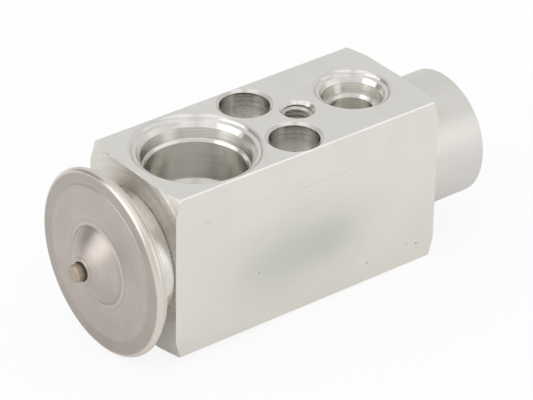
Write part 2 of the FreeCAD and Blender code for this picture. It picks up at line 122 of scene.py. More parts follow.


# How much the painted reflection, the scratches and the pits on the block cover
PAINTED_REFLECTION_COVER = 0.45
SCRATCH_COVER = 0.35
PIT_COVER = 0.75
# A painted dull reflection on the front face as soft darker patches, faint scratches on it, and pits round
# the block, as place and reach
PAINTED_REFLECTION_PATCHES = (
    (at(-3.0, -14, -3.5), at(28, 2, 15)),
    (at(-4.0, -14, -4.3), at(18, 2, 7)),
    (at(4.5, -14, -3.6), at(9, 2, 7)),
)
SCRATCHES = (
    (at(-29.2, -14, 14.2), at(0.6, 0.4, 0.20)),
    (at(-25.6, -14, 10.6), at(1.3, 0.4, 0.25)),
    (at(-19.8, -14, 10.8), at(0.9, 0.4, 0.12)),
    (at(-13.9, -14, 10.3), at(0.9, 0.4, 0.16)),
    (at(-10.8, -14, 10.5), at(0.7, 0.4, 0.14)),
    (at(-7.9, -14, 10.1), at(0.8, 0.4, 0.12)),
    (at(-1.7, -14, 10.2), at(0.8, 0.4, 0.14)),
    (at(4.8, -14, 10.6), at(0.9, 0.4, 0.14)),
    (at(9.2, -14, 10.0), at(2.2, 0.4, 0.14)),
    (at(11.8, -14, 10.4), at(0.7, 0.4, 0.16)),
    (at(20.6, -14, 10.0), at(1.4, 0.4, 0.14)),
    (at(24.8, -14, -13.2), at(0.8, 0.4, 0.30)),
    (at(2.0, -14, 10.0), at(12, 0.4, 0.10)),
    (at(-2.5, -14, 11.3), at(7, 0.4, 0.08)),
)
PITS = (
    (at(-13.0, -14, -5.5), at(0.20, 0.3, 0.18)),
    (at(14.6, -14, -13.7), at(0.24, 0.3, 0.20)),
    (at(27.3, -14, -13.8), at(0.35, 0.3, 0.22)),
    (at(-14.9, -12.4, 18), at(0.20, 0.20, 0.3)),
    (at(-33.0, 8.1, 18), at(0.22, 0.22, 0.3)),
    (at(-33.2, 3.84, 13.8), at(0.3, 0.25, 0.25)),
    (at(-16.4, 11.8, 15.0), at(0.25, 0.3, 0.22)),
)


def length(name, description, millimetres):
    """A length that a user may change, kept in metres."""
    return bpy.props.FloatProperty(
        name=name, description=description, default=millimetres * MM, min=0.0, unit="LENGTH", precision=5
    )


def place(name, description, millimetres):
    """A point in the part's own frame, kept in metres."""
    return bpy.props.FloatVectorProperty(
        name=name, description=description, default=[value * MM for value in millimetres],
        subtype="TRANSLATION", unit="LENGTH", size=3, precision=5
    )


def angle(name, description, degrees):
    """An angle that a user may change, kept in radians."""
    return bpy.props.FloatProperty(
        name=name, description=description, default=math.radians(degrees), subtype="ANGLE"
    )


def colour(name, description, red, green, blue):
    """A finish's own colour, in linear light."""
    return bpy.props.FloatVectorProperty(
        name=name, description=description, default=(red, green, blue),
        subtype="COLOR", size=3, min=0.0, max=1.0
    )


def share(name, description, value, most=1.0):
    """A plain number such as a roughness or a light level."""
    return bpy.props.FloatProperty(
        name=name, description=description, default=value, min=0.0, max=most, subtype="FACTOR"
    )


class ValveSizes(bpy.types.PropertyGroup):
    """Sizes of the threads and of the adjusting screw"""
    hole_pitch: length("Hole thread pitch", "Pitch of the M6 thread in the block's top face", 1.0)
    hole_thread_start: length("Hole thread start", "Depth at which that thread begins", 0.85)
    boss_pitch: length("Boss thread pitch", "Pitch of the fine thread that the adjusting screw runs in", 1.0)
    boss_thread_radius: length("Boss thread radius", "Outer radius of the thread cut in the boss", 7.0)
    boss_thread_length: length("Boss thread length", "Length of the thread cut in the boss", 5.9)
    boss_thread_recess: length("Boss thread recess", "Plain length at the open end of the boss", 0.45)
    thread_play: length("Thread play", "Radial play between the screw's thread and the boss's", 0.05)
    screw_nose_radius: length("Screw nose radius", "Radius of the nose that carries the spring seat", 5.2)
    screw_nose_length: length("Screw nose length", "Length of that nose", 1.75)
    screw_land_radius: length("Screw land radius", "Radius of the lands beside the ring groove", 6.35)
    screw_land_width: length("Screw land width", "Width of each of those lands", 0.4)
    screw_groove_radius: length("Screw groove radius", "Radius at the bottom of the ring groove", 4.96)
    screw_groove_width: length("Screw groove width", "Width of the ring groove", 1.8)
    screw_neck_radius: length("Screw neck radius", "Radius of the neck between groove and thread", 6.0)
    screw_thread_length: length("Screw thread length", "Length of the screw's threaded end", 3.6)
    screw_chamfer: length("Screw chamfer", "Chamfer at both ends of the screw's thread", 0.4)
    hexagon_flats: length("Hexagon across flats", "Size of the key that fits the screw", 6.0)
    hexagon_depth: length("Hexagon depth", "Depth of the screw's socket", 5.0)
    hexagon_lead: length("Hexagon lead", "Conical lead at the socket's mouth", 0.35)
    hexagon_point: length("Hexagon drill point", "Depth of the drill point under the socket", 1.1)


class ValveFinishes(bpy.types.PropertyGroup):
    """Colours of the finishes"""
    block_side: colour("Block sides", "Milled aluminium of the long faces", 0.815, 0.79, 0.738)
    block_lid: colour("Block port faces", "Milled aluminium of the two port faces", 0.775, 0.76, 0.722)
    # Partly the bright cut of the broken edges, partly a painted highlight along them
    block_edge: colour("Block edges", "Bright broken edges along the port faces", 0.97, 0.96, 0.94)
    block_step: colour("Block steps", "The steps and drill points deep in the ports", 0.60, 0.58, 0.54)
    block_end: colour("Block ends", "Turned aluminium of both ends", 0.76, 0.73, 0.68)
    block_boss: colour("Block boss", "Turned aluminium of the boss", 0.73, 0.713, 0.672)
    block_bore: colour("Block bores", "Freshly cut aluminium in the mouths of the ports", 0.73, 0.712, 0.672)
    # Painted light: a lighter colour deep in the ports and holes, standing in for the light that reaches
    # little there
    block_deep: colour("Block deep bores", "Freshly cut aluminium deeper in the ports", 0.89, 0.87, 0.825)
    block_recess: colour("Block recesses", "Duller aluminium of the bolts' recesses", 0.665, 0.645, 0.61)
    # Painted reflection: a dull greenish darker patch on the front face
    block_stain: colour("Block smudge", "Dull greenish smudge left by handling", 0.575, 0.595, 0.55)
    scratch: colour("Scratches", "Faint scratches on the front face", 0.48, 0.46, 0.42)
    pit: colour("Pits", "Bottom of a pit or dent", 0.16, 0.15, 0.13)
    side_roughness: share("Milled face roughness", "Roughness of the block's flat faces", 0.43)
    end_roughness: share("Turned end roughness", "Roughness of the block's two ends", 0.22)
    boss_roughness: share("Boss roughness", "Roughness of the boss", 0.38)
    bore_roughness: share("Mouth roughness", "Roughness of the mouths of ports and holes", 0.18)
    deep_roughness: share("Bore roughness", "Roughness deeper in the ports and holes", 0.20)
    bore_marks: share("Mouth tool marks", "How far the rings in the mouths of the bores tilt them", 1.0, 8.0)
    deep_marks: share("Bore tool marks", "The same for the rings deeper in the bores", 2.6, 8.0)
    end_marks: share("End tool marks", "How far the rings on the two ends tilt the surface", 4.0, 8.0)
    boss_marks: share("Boss tool marks", "How far the rings on the boss tilt the surface", 0.8, 4.0)
    head_face: colour("Head face", "Pressed steel of the head's cap", 0.515, 0.463, 0.425)
    # Painted shade: a darker greenish band standing in for the shallow valley before the rolled rim
    head_band: colour("Head band", "Greenish grey band inside the head's rim", 0.425, 0.40, 0.36)
    head_rim: colour("Head rim", "Warm bright steel of the rolled rim", 0.72, 0.67, 0.605)
    # Also a painted highlight: the pale ring just outside the dome's foot
    head_line: colour("Head lines", "Pale rings that the press left round the dome", 0.72, 0.68, 0.64)
    # Also painted shade: the dark ring in the crease at the dome's foot
    head_speck: colour("Head specks", "Dark specks in the pressed steel", 0.24, 0.205, 0.18)
    plug_root: colour("Plug root", "Dark ring where the plug meets the dome", 0.16, 0.14, 0.12)
    housing: colour("Housing", "Bright turned steel of the head's lower half", 0.82, 0.795, 0.75)
    plug: colour("Charge plug", "Steel tinted tan by the welding", 0.48, 0.41, 0.32)
    sheet: colour("Spring sheet", "Thin bright spring steel", 0.62, 0.61, 0.59)
    brass: colour("Brass", "Turned brass of the inner pieces and the screw", 0.74, 0.56, 0.28)
    brass_tarnish: colour("Brass tarnish", "Brown film on the brass", 0.42, 0.27, 0.12)
    rod: colour("Ground steel", "Ground steel of the rod, the pin and the seat", 0.60, 0.59, 0.57)
    ball: colour("Ball", "Polished steel ball", 0.66, 0.66, 0.67)
    wire: colour("Spring wire", "Drawn spring wire", 0.44, 0.43, 0.42)
    rubber: colour("Seal rubber", "Green-black rubber of the ring seals", 0.018, 0.026, 0.02)
    plastic: colour("Backing plastic", "White plastic of the seal's backing washer", 0.72, 0.71, 0.67)


class ValveStudio(bpy.types.PropertyGroup):
    """Floor, lights and camera"""
    floor_colour: colour("Floor", "Plain floor", 0.92, 0.92, 0.92)
    floor_reach: length("Floor reach", "Distance from the part to the floor's edge", 1500)
    shadow_share: share("Shadow share", "How strongly the part's shadow shows on the white floor", 0.12)
    mirrored_shadow_share: share("Mirrored shadow share", "The same for the floor that metal mirrors", 0.8)
    fill_level: share("Fill level", "Light from all round on matt surfaces", 0.80)
    surround_level: share("Surround level", "Brightness of the surroundings that metal mirrors", 0.83)
    back_level: share("Back level", "The same for the dim part of the room behind the head", 0.36)
    left_level: share("Left lamp level", "Brightness of the head's lamp over its surroundings", 1.2, 10.0)
    right_level: share("Right lamp level", "The same for the lamp in front of the boss", 0.32, 10.0)
    top_level: share("Top lamp level", "The same for the two lamps overhead", 0.4, 10.0)
    lens: length("Lens", "Focal length for a 36 mm wide picture", 242.72)
    camera_azimuth: angle("Camera azimuth", "Direction from the part to the camera, from -Y", -38.384)
    camera_elevation: angle("Camera elevation", "Height of the camera above the part's own plane", 31.561)
    camera_roll: angle("Camera roll", "Turn of the camera about its own view", 1.033)
    camera_distance: length("Camera distance", "Distance from the camera to its aim", 697.92)
    camera_aim: place("Camera aim", "Point in the middle of the picture", (-9.654, -11.730, 8.833))


class Wiring:
    """Places nodes in one tree. An input takes a number, a vector or another node's output."""

    def __init__(self, tree):
        self.tree = tree

    def feed(self, socket, value):
        """Joins an output to a socket, or sets the socket to a plain value."""
        if isinstance(value, bpy.types.NodeSocket):
            self.tree.links.new(value, socket)
        else:
            socket.default_value = value

    def node(self, kind, inputs=(), **settings):
        """Adds a node with its settings, and feeds its inputs by position or by name."""
        made = self.tree.nodes.new("ShaderNode" + kind)
        for setting, value in settings.items():
            setattr(made, setting, value)
        pairs = inputs.items() if isinstance(inputs, dict) else enumerate(inputs)
        for socket, value in pairs:
            self.feed(made.inputs[socket], value)
        return made

    def math(self, operation, *values):
        """Result of a sum on plain values."""
        return self.node("Math", values, operation=operation).outputs[0]

    def vector(self, operation, *values):
        """Result of a sum on vectors that is a vector itself."""
        return self.node("VectorMath", values, operation=operation).outputs["Vector"]

    def measure(self, operation, *values):
        """Result of a sum on vectors that is a plain value."""
        return self.node("VectorMath", values, operation=operation).outputs["Value"]

    def scaled(self, vector, factor):
        """A vector times a plain value."""
        inputs = {"Vector": vector, "Scale": factor}
        return self.node("VectorMath", inputs, operation="SCALE").outputs["Vector"]

    def parts(self, vector):
        """The three parts of a vector."""
        return self.node("SeparateXYZ", [vector]).outputs

    def both(self, first, second):
        """Where both masks hold, or a mask made weaker."""
        return self.math("MULTIPLY", first, second)

    def either(self, first, second):
        """Where at least one of two masks holds."""
        return self.math("MAXIMUM", first, second)

    def above(self, value, limit):
        """1 where the value is over the limit, else 0."""
        return self.math("GREATER_THAN", value, limit)

    def below(self, value, limit):
        """1 where the value is under the limit, else 0."""
        return self.math("LESS_THAN", value, limit)

    def step(self, value, low, high, start=0.0, end=1.0):
        """Goes smoothly from start to end while the value goes from low to high."""
        inputs = {"Value": value, "From Min": low, "From Max": high, "To Min": start, "To Max": end}
        return self.node("MapRange", inputs, interpolation_type="SMOOTHSTEP").outputs["Result"]

    def spread(self, mask, low, high):
        """Goes smoothly from low to high with a mask."""
        return self.step(mask, 0.0, 1.0, low, high)

    def noise(self, vector, detail, roughness):
        """Soft noise in space, from 0 to 1."""
        inputs = {"Vector": vector, "Scale": 1.0, "Detail": detail, "Roughness": roughness}
        return self.node("TexNoise", inputs).outputs["Fac"]

    def wave(self, position, detail, roughness=0.5):
        """Soft noise along a line, from 0 to 1."""
        inputs = {"W": position, "Scale": 1.0, "Detail": detail, "Roughness": roughness}
        return self.node("TexNoise", inputs, noise_dimensions="1D").outputs["Fac"]

    def colours(self, mask, first, second):
        """The first colour where the mask is 0, the second where it is 1."""
        made = self.node("Mix", {"Factor": mask}, data_type="RGBA")
        self.feed(made.inputs[6], solid(first))
        self.feed(made.inputs[7], solid(second))
        return made.outputs[2]

    def values(self, mask, first, second):
        """The first value where the mask is 0, the second where it is 1."""
        made = self.node("Mix", {"Factor": mask}, data_type="FLOAT")
        self.feed(made.inputs[2], first)
        self.feed(made.inputs[3], second)
        return made.outputs[0]

    def shade(self, tint, factor):
        """A colour made darker or lighter by a factor."""
        made = self.node("Mix", {"Factor": 1.0}, data_type="RGBA", blend_type="MULTIPLY")
        self.feed(made.inputs[6], solid(tint))
        grey = self.node("CombineColor", [factor, factor, factor])
        self.feed(made.inputs[7], grey.outputs[0])
        return made.outputs[2]

    def shaded(self, tint, mask, darkest, lightest):
        """A colour that gets lighter with a mask."""
        return self.shade(tint, self.spread(mask, darkest, lightest))

    def effect(self, group, **inputs):
        """Places one of the shared node groups, and gives its outputs."""
        named = {name.replace("_", " ").capitalize(): value for name, value in inputs.items()}
        return self.node("Group", named, node_tree=group).outputs


def solid(tint):
    """A colour with its alpha, or an output as it is."""
    return tint if isinstance(tint, bpy.types.NodeSocket) else (*tint, 1.0)


def new_effect(name, inputs, output_kind, output):
    """An empty shader node group with named sockets: its wiring, its input sockets and its output node."""
    tree = bpy.data.node_groups.new(name, "ShaderNodeTree")
    for socket, (kind, default) in inputs.items():
        made = tree.interface.new_socket(name=socket, in_out="INPUT", socket_type="NodeSocket" + kind)
        made.default_value = default
    tree.interface.new_socket(name=output, in_out="OUTPUT", socket_type="NodeSocket" + output_kind)
    return Wiring(tree), tree.nodes.new("NodeGroupInput").outputs, tree.nodes.new("NodeGroupOutput").inputs


def straight_marks():
    """Group that tilts the normal along fine straight tool marks."""
    wiring, given, result = new_effect("straight_marks", {
        "Normal": ("Vector", (0.0, 0.0, 1.0)),
        "Across": ("Vector", (0.0, 0.0, 1.0)),
        "Spacing": ("Float", 0.2 * MM),
        "Run": ("Float", 20 * MM),
        "Depth": ("Float", 0.1),
    }, "Vector", "Normal")
    point = wiring.node("TexCoord").outputs["Object"]
    along_run = wiring.scaled(point, wiring.math("DIVIDE", 1.0, given["Run"]))
    position = wiring.measure("DOT_PRODUCT", point, given["Across"])
    line = wiring.math("DIVIDE", position, given["Spacing"])
    spread = wiring.vector("ADD", along_run, wiring.scaled(given["Across"], line))
    height = wiring.noise(spread, 2.0, 0.65)
    tilt = wiring.math("MULTIPLY", wiring.math("SUBTRACT", height, 0.5), given["Depth"])
    facing = wiring.measure("DOT_PRODUCT", given["Across"], given["Normal"])
    flat = wiring.vector("SUBTRACT", given["Across"], wiring.scaled(given["Normal"], facing))
    tilted = wiring.vector("ADD", given["Normal"], wiring.scaled(flat, tilt))
    wiring.feed(result["Normal"], wiring.vector("NORMALIZE", tilted))
    return wiring.tree


def turned_marks():
    """Group that tilts the normal along fine rings round an axis, on flat and on round faces."""
    wiring, given, result = new_effect("turned_marks", {
        "Normal": ("Vector", (0.0, 0.0, 1.0)),
        "Centre": ("Vector", (0.0, 0.0, 0.0)),
        "Axis": ("Vector", (1.0, 0.0, 0.0)),
        "Spacing": ("Float", 0.2 * MM),
        "Depth": ("Float", 0.1),
    }, "Vector", "Normal")
    point = wiring.vector("SUBTRACT", wiring.node("TexCoord").outputs["Object"], given["Centre"])
    along_axis = wiring.scaled(given["Axis"], wiring.measure("DOT_PRODUCT", point, given["Axis"]))
    outward = wiring.vector("NORMALIZE", wiring.vector("SUBTRACT", point, along_axis))
    round_axis = wiring.vector("CROSS_PRODUCT", given["Axis"], outward)
    profile = wiring.vector("CROSS_PRODUCT", given["Normal"], round_axis)
    position = wiring.math("DIVIDE", wiring.measure("DOT_PRODUCT", point, profile), given["Spacing"])
    ripple = wiring.wave(position, 2.0, 0.65)
    tilt = wiring.math("MULTIPLY", wiring.math("SUBTRACT", ripple, 0.5), given["Depth"])
    tilted = wiring.vector("ADD", given["Normal"], wiring.scaled(profile, tilt))
    wiring.feed(result["Normal"], wiring.vector("NORMALIZE", tilted))
    return wiring.tree


def blotches():
    """Group that gives soft uneven blotches of one size, from 0 to 1."""
    wiring, given, result = new_effect("blotches", {
        "Size": ("Float", 2 * MM),
        "Low": ("Float", 0.35),
        "High": ("Float", 0.65),
    }, "Float", "Mask")
    point = wiring.node("TexCoord").outputs["Object"]
    spread = wiring.scaled(point, wiring.math("DIVIDE", 1.0, given["Size"]))
    cloud = wiring.noise(spread, 3.0, 0.55)
    wiring.feed(result["Mask"], wiring.step(cloud, given["Low"], given["High"]))
    return wiring.tree


def single_mark():
    """Group that masks one oval mark: a dent, a scratch or a patch of painted reflection."""
    wiring, given, result = new_effect("single_mark", {
        "Place": ("Vector", (0.0, 0.0, 0.0)),
        "Reach": ("Vector", (MM, MM, MM)),
        "Solid part": ("Float", 0.6),
    }, "Float", "Mask")
    point = wiring.node("TexCoord").outputs["Object"]
    offset = wiring.vector("DIVIDE", wiring.vector("SUBTRACT", point, given["Place"]), given["Reach"])
    distance = wiring.measure("LENGTH", offset)
    wiring.feed(result["Mask"], wiring.step(distance, given["Solid part"], 1.0, 1.0, 0.0))
    return wiring.tree


def shared(maker):
    """A node group, made on its first use and placed again after that."""
    return bpy.data.node_groups.get(maker.__name__) or maker()


def blotched(wiring, size, low, high):
    """Mask of soft blotches whose size is in millimetres."""
    return wiring.effect(shared(blotches), size=size * MM, low=low, high=high)["Mask"]


def ringed(wiring, normal, spacing, depth, **about):
    """A normal tilted along fine rings, which run about the stem's axis unless told otherwise."""
    return wiring.effect(shared(turned_marks), normal=normal, spacing=spacing, depth=depth, **about)["Normal"]


def marked(wiring, places, solid_part=0.6):
    """Mask of several oval marks."""
    masks = [
        wiring.effect(shared(single_mark), place=place, reach=reach, solid_part=solid_part)["Mask"]
        for place, reach in places
    ]
    whole = masks[0]
    for mask in masks[1:]:
        whole = wiring.either(whole, mask)
    return whole


def new_material(name, metallic=1.0):
    """A material with an empty node tree: itself, its wiring and the inputs of its Principled node."""
    material = bpy.data.materials.new(name)
    material.use_nodes = True
    material.node_tree.nodes.clear()
    wiring = Wiring(material.node_tree)
    surface = wiring.node("BsdfPrincipled", {"Metallic": metallic})
    output = wiring.node("OutputMaterial")
    wiring.feed(output.inputs["Surface"], surface.outputs["BSDF"])
    return material, wiring, surface.inputs


def own_space(wiring):
    """The point and the normal, in the piece's own space."""
    space = wiring.node("TexCoord").outputs
    return space["Object"], space["Normal"]


def in_world(wiring, normal):
    """A normal of the piece's own space, turned into the world's."""
    inputs = {"Vector": normal}
    return wiring.node("VectorTransform", inputs, vector_type="NORMAL",
                       convert_from="OBJECT", convert_to="WORLD").outputs["Vector"]


def bumped(wiring, height, strength, depth, **normal):
    """The world's normal with a fine relief, whose depth is in millimetres."""
    inputs = {"Strength": strength, "Distance": depth * MM, "Height": height, **normal}
    return wiring.node("Bump", inputs).outputs["Normal"]


def hole_axis(wiring, point):
    """Place of the axis that the tool marks run about, and masks of the bolt holes and the threaded hole."""
    along, across, up = wiring.parts(point)
    suction, inlet, outlet = (
        MOUNTS[name]["pos_m"][0] for name in ("suction_outlet", "liquid_inlet", "liquid_outlet")
    )
    bolts = MOUNTS["bolt_holes"]
    bolt_row, clamp_row = bolts["pos_m"][0], THREADED_HOLE["pos_m"][0]
    offset = bolts["dims"]["spacing_y_mm"] / 2 * MM
    centre = wiring.values(wiring.above(up, 0.0), outlet, inlet)
    centre = wiring.values(wiring.below(along, bolt_row), centre, suction)
    sideways = wiring.math("MULTIPLY", wiring.math("SIGN", across), offset)
    from_bolt = wiring.node("CombineXYZ", [
        wiring.math("SUBTRACT", along, bolt_row), wiring.math("SUBTRACT", across, sideways), 0.0
    ]).outputs[0]
    near_bolt = wiring.below(wiring.measure("LENGTH", from_bolt), BOLT_MOUTH_REACH)
    near_clamp = wiring.math("COMPARE", along, clamp_row, CLAMP_MOUTH_REACH)
    centre = wiring.values(near_clamp, centre, clamp_row)
    centre = wiring.values(near_bolt, centre, bolt_row)
    centre = wiring.node("CombineXYZ", [centre, wiring.both(near_bolt, sideways), 0.0]).outputs[0]
    return centre, near_bolt, near_clamp


def block_masks(wiring, point, normal):
    """Masks of the block's regions by name, and the place of the axis that its bores' marks run about."""
    low, high = BLOCK_BOX
    along = wiring.parts(point)["X"]
    _, across, up = wiring.parts(wiring.vector("ABSOLUTE", point))
    facing = wiring.vector("ABSOLUTE", normal)
    facing_x, facing_y, facing_z = wiring.parts(facing)
    side = wiring.both(wiring.above(across, high.y - SIDE_SKIN), wiring.above(facing_y, 0.6))
    lid = wiring.both(wiring.above(up, high.z - LID_SKIN), wiring.above(facing_z, 0.7))
    far, near = wiring.above(along, BLOCK_END - END_REACH), wiring.below(along, low.x + END_REACH)
    end = wiring.both(wiring.either(far, near), wiring.above(facing_x, 0.5))
    boss = wiring.above(along, BLOCK_END + BOSS_START)
    milled = wiring.either(side, lid)
    slanting = wiring.math("COMPARE", wiring.measure("DOT_PRODUCT", facing, (0, 1, 1)), math.sqrt(2), 0.05)

    centre, recess, clamp = hole_axis(wiring, point)
    mouth_depth = wiring.values(wiring.either(recess, clamp), PORT_MOUTH_DEPTH, HOLE_MOUTH_DEPTH)
    return {
        "side": side,
        "lid": lid,
        "milled": milled,
        # The broken edges, which get a painted highlight as well as their own bright cut
        "edge": wiring.both(milled, slanting),
        "end": end,
        "boss": boss,
        "bored": wiring.math("SUBTRACT", 1.0, wiring.either(milled, wiring.either(end, boss))),
        "recess": recess,
        "deep": wiring.below(up, wiring.math("SUBTRACT", high.z, mouth_depth)),
        "step": wiring.above(facing_z, 0.3),
    }, centre


def block_tint(wiring, look, masks, cloud, pits):
    """The block's colour: by region, with painted light deep in the bores and a painted highlight on the
    edges, with blotches, a painted reflection on the front face, scratches and pits.
    """
    # Deep in the ports and holes the colour is lighter, as painted light
    tint = wiring.colours(masks["step"], look.block_deep, look.block_step)
    tint = wiring.colours(masks["deep"], look.block_bore, tint)
    for region in ("recess", "lid", "side", "end", "boss", "edge"):
        tint = wiring.colours(masks[region], tint, getattr(look, "block_" + region))
    tint = wiring.shaded(tint, cloud, 0.97, 1.0)
    tint = wiring.shaded(tint, blotched(wiring, 0.35, 0.25, 0.75), 0.985, 1.015)
    # Painted reflection: dull greenish darker patches on the front face
    for reflection_patch in PAINTED_REFLECTION_PATCHES:
        cover = wiring.both(marked(wiring, [reflection_patch], 0.1), wiring.both(masks["side"], PAINTED_REFLECTION_COVER))
        tint = wiring.colours(cover, tint, look.block_stain)
    scratches = marked(wiring, SCRATCHES, 0.2)
    tint = wiring.colours(wiring.both(scratches, SCRATCH_COVER), tint, look.scratch)
    return wiring.colours(wiring.both(pits, PIT_COVER), tint, look.pit)


def block_normal(wiring, look, masks, normal, centre, pits):
    """The block's normal: lines on the milled faces, rings on what is turned or bored, and the pits."""
    for mask, across, spacing in (("side", (0.0, 0.0, 1.0), 0.11 * MM), ("lid", (0.0, 1.0, 0.0), 0.12 * MM)):
        normal = wiring.effect(shared(straight_marks), normal=normal, across=across, spacing=spacing,
                               run=14 * MM, depth=wiring.both(masks[mask], 0.16))["Normal"]
    bored, deep = masks["bored"], masks["deep"]
    axis = wiring.node("CombineXYZ", [wiring.math("SUBTRACT", 1.0, bored), 0.0, bored]).outputs[0]
    depth = wiring.both(bored, wiring.values(deep, look.bore_marks, look.deep_marks))
    depth = wiring.values(masks["end"], depth, look.end_marks)
    depth = wiring.values(masks["boss"], depth, look.boss_marks)
    spacing = wiring.values(wiring.both(bored, deep), 0.08 * MM, 0.03 * MM)
    normal = ringed(wiring, normal, spacing, depth, centre=wiring.scaled(centre, bored), axis=axis)
    return bumped(wiring, wiring.math("SUBTRACT", 1.0, pits), 1.0, 0.05, Normal=in_world(wiring, normal))


def milled_aluminium(look):
    """Satin aluminium: lines along the milled faces, rings round the ports, the ends and the boss."""
    material, wiring, surface = new_material("milled_aluminium")
    point, normal = own_space(wiring)
    masks, centre = block_masks(wiring, point, normal)
    cloud = blotched(wiring, 9, 0.3, 0.7)
    pits = marked(wiring, PITS)
    wiring.feed(surface["Base Color"], block_tint(wiring, look, masks, cloud, pits))
    wiring.feed(surface["Normal"], block_normal(wiring, look, masks, normal, centre, pits))
    rough = wiring.values(masks["deep"], look.bore_roughness, look.deep_roughness)
    rough = wiring.values(masks["milled"], rough, look.side_roughness)
    rough = wiring.values(masks["end"], rough, look.end_roughness)
    rough = wiring.values(masks["boss"], rough, look.boss_roughness)
    wiring.feed(surface["Roughness"], wiring.both(rough, wiring.spread(cloud, 0.94, 1.06)))
    return material


def from_axis(wiring, point):
    """Distance of a point from the stem's axis."""
    return wiring.measure("LENGTH", wiring.vector("MULTIPLY", point, (0.0, 1.0, 1.0)))


def thin_ring(wiring, radius, place, half_width):
    """Mask of a thin line at one distance from the stem's axis."""
    away = wiring.math("ABSOLUTE", wiring.math("SUBTRACT", radius, place))
    return wiring.step(away, half_width / 3, half_width, 1.0, 0.0)


def pressed_head_steel(look):
    """Mauve-grey pressed steel with fine rings and specks, a band of painted shade inside the rim and rings
    of painted shade and highlight at the dome's foot, which turns warm and bright on the rolled rim.
    """
    material, wiring, surface = new_material("pressed_head_steel")
    point, normal = own_space(wiring)
    radius = from_axis(wiring, point)
    grain = blotched(wiring, 0.30, 0.3, 0.7)
    cloud = blotched(wiring, 4.5, 0.3, 0.7)
    specks = blotched(wiring, 0.55, 0.71, 0.77)
    ring_wave = wiring.wave(wiring.math("DIVIDE", radius, 1.1 * MM), 4.0)
    rim = wiring.step(radius, RIM_RADIUS - RIM_ROUND, RIM_RADIUS - 0.5 * RIM_ROUND)

    # Painted shade of the shallow valley before the rim, as a darker greenish band
    band = thin_ring(wiring, radius, RIM_RADIUS - 2.1 * MM, 1.8 * MM)
    tint = wiring.colours(wiring.both(band, 0.7), look.head_face, look.head_band)
    tint = wiring.shaded(tint, grain, 0.965, 1.03)
    tint = wiring.shaded(tint, cloud, 0.96, 1.03)
    tint = wiring.shade(tint, wiring.step(ring_wave, 0.3, 0.7, 0.98, 1.015))
    # The rings round the dome, the two at its foot being painted shade and a painted highlight
    for place, weight, line in DOME_RINGS_AND_FOOT_SHADING:
        ring = thin_ring(wiring, radius, place, 0.3 * MM)
        tint = wiring.colours(wiring.both(ring, weight), tint, getattr(look, line))
    tint = wiring.colours(wiring.both(specks, 0.5), tint, look.head_speck)
    wiring.feed(surface["Base Color"], wiring.colours(rim, tint, look.head_rim))

    turned = ringed(wiring, normal, 0.12 * MM, 0.35)
    wiring.feed(surface["Normal"], bumped(wiring, grain, 0.3, 0.01, Normal=in_world(wiring, turned)))
    wiring.feed(surface["Roughness"], wiring.values(rim, wiring.spread(cloud, 0.36, 0.42), 0.24))
    return material


def turned_metal(name, tint, second, spacing, depth, roughness):
    """Turned or ground metal: fine rings, a light film of a second colour and uneven gloss."""
    material, wiring, surface = new_material(name)
    _, normal = own_space(wiring)
    cloud = blotched(wiring, 2.2, 0.35, 0.7)
    film = wiring.colours(wiring.both(cloud, 0.35), tint, second)
    grain = blotched(wiring, 0.18, 0.25, 0.75)
    wiring.feed(surface["Base Color"], wiring.shaded(film, grain, 0.93, 1.03))
    wiring.feed(surface["Normal"], in_world(wiring, ringed(wiring, normal, spacing, depth)))
    wiring.feed(surface["Roughness"], wiring.spread(cloud, roughness, roughness * 1.35))
    return material


def bright_housing_steel(look):
    """Bright turned steel of the head's lower half, warmer on the rolled rim."""
    material, wiring, surface = new_material("bright_housing_steel")
    point, normal = own_space(wiring)
    cloud = blotched(wiring, 3, 0.3, 0.7)
    ring_wave = wiring.wave(wiring.math("DIVIDE", wiring.parts(point)["X"], 0.35 * MM), 3.0)
    tint = wiring.shaded(look.housing, cloud, 0.94, 1.0)
    tint = wiring.shaded(tint, blotched(wiring, 0.25, 0.3, 0.7), 0.97, 1.02)
    tint = wiring.shade(tint, wiring.step(ring_wave, 0.3, 0.7, 0.92, 1.03))
    rim = wiring.step(from_axis(wiring, point), RIM_RADIUS - 2.5 * MM, RIM_RADIUS - 2.0 * MM)
    wiring.feed(surface["Base Color"], wiring.colours(rim, tint, look.head_rim))
    wiring.feed(surface["Normal"], in_world(wiring, ringed(wiring, normal, 0.10 * MM, 0.7)))
    wiring.feed(surface["Roughness"], wiring.spread(cloud, 0.22, 0.28))
    return material


def tinted_plug_steel(look):
    """Steel plug, tanned by the welding and darker towards the dome."""
    material, wiring, surface = new_material("tinted_plug_steel")
    point, normal = own_space(wiring)
    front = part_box("charge_plug")[0].x
    root = wiring.step(wiring.parts(point)["X"], front + 0.5 * MM, front + 1.7 * MM)
    grain = blotched(wiring, 0.22, 0.3, 0.7)
    tint = wiring.shaded(look.plug, grain, 0.85, 1.10)
    wiring.feed(surface["Base Color"], wiring.colours(root, tint, look.plug_root))
    turned = ringed(wiring, normal, 0.18 * MM, 0.2)
    wiring.feed(surface["Normal"], bumped(wiring, grain, 0.6, 0.03, Normal=in_world(wiring, turned)))
    wiring.feed(surface["Roughness"], wiring.spread(grain, 0.42, 0.55))
    return material


def drawn_wire(look):
    """Spring wire with a grey phosphate film and drawing marks."""
    material, wiring, surface = new_material("drawn_spring_wire")
    grain = blotched(wiring, 0.15, 0.3, 0.7)
    cloud = blotched(wiring, 1.6, 0.35, 0.65)
    tint = wiring.shaded(look.wire, grain, 0.82, 1.08)
    wiring.feed(surface["Base Color"], wiring.shaded(tint, cloud, 0.85, 1.0))
    wiring.feed(surface["Normal"], bumped(wiring, grain, 0.5, 0.01))
    wiring.feed(surface["Roughness"], wiring.spread(cloud, 0.3, 0.42))
    return material


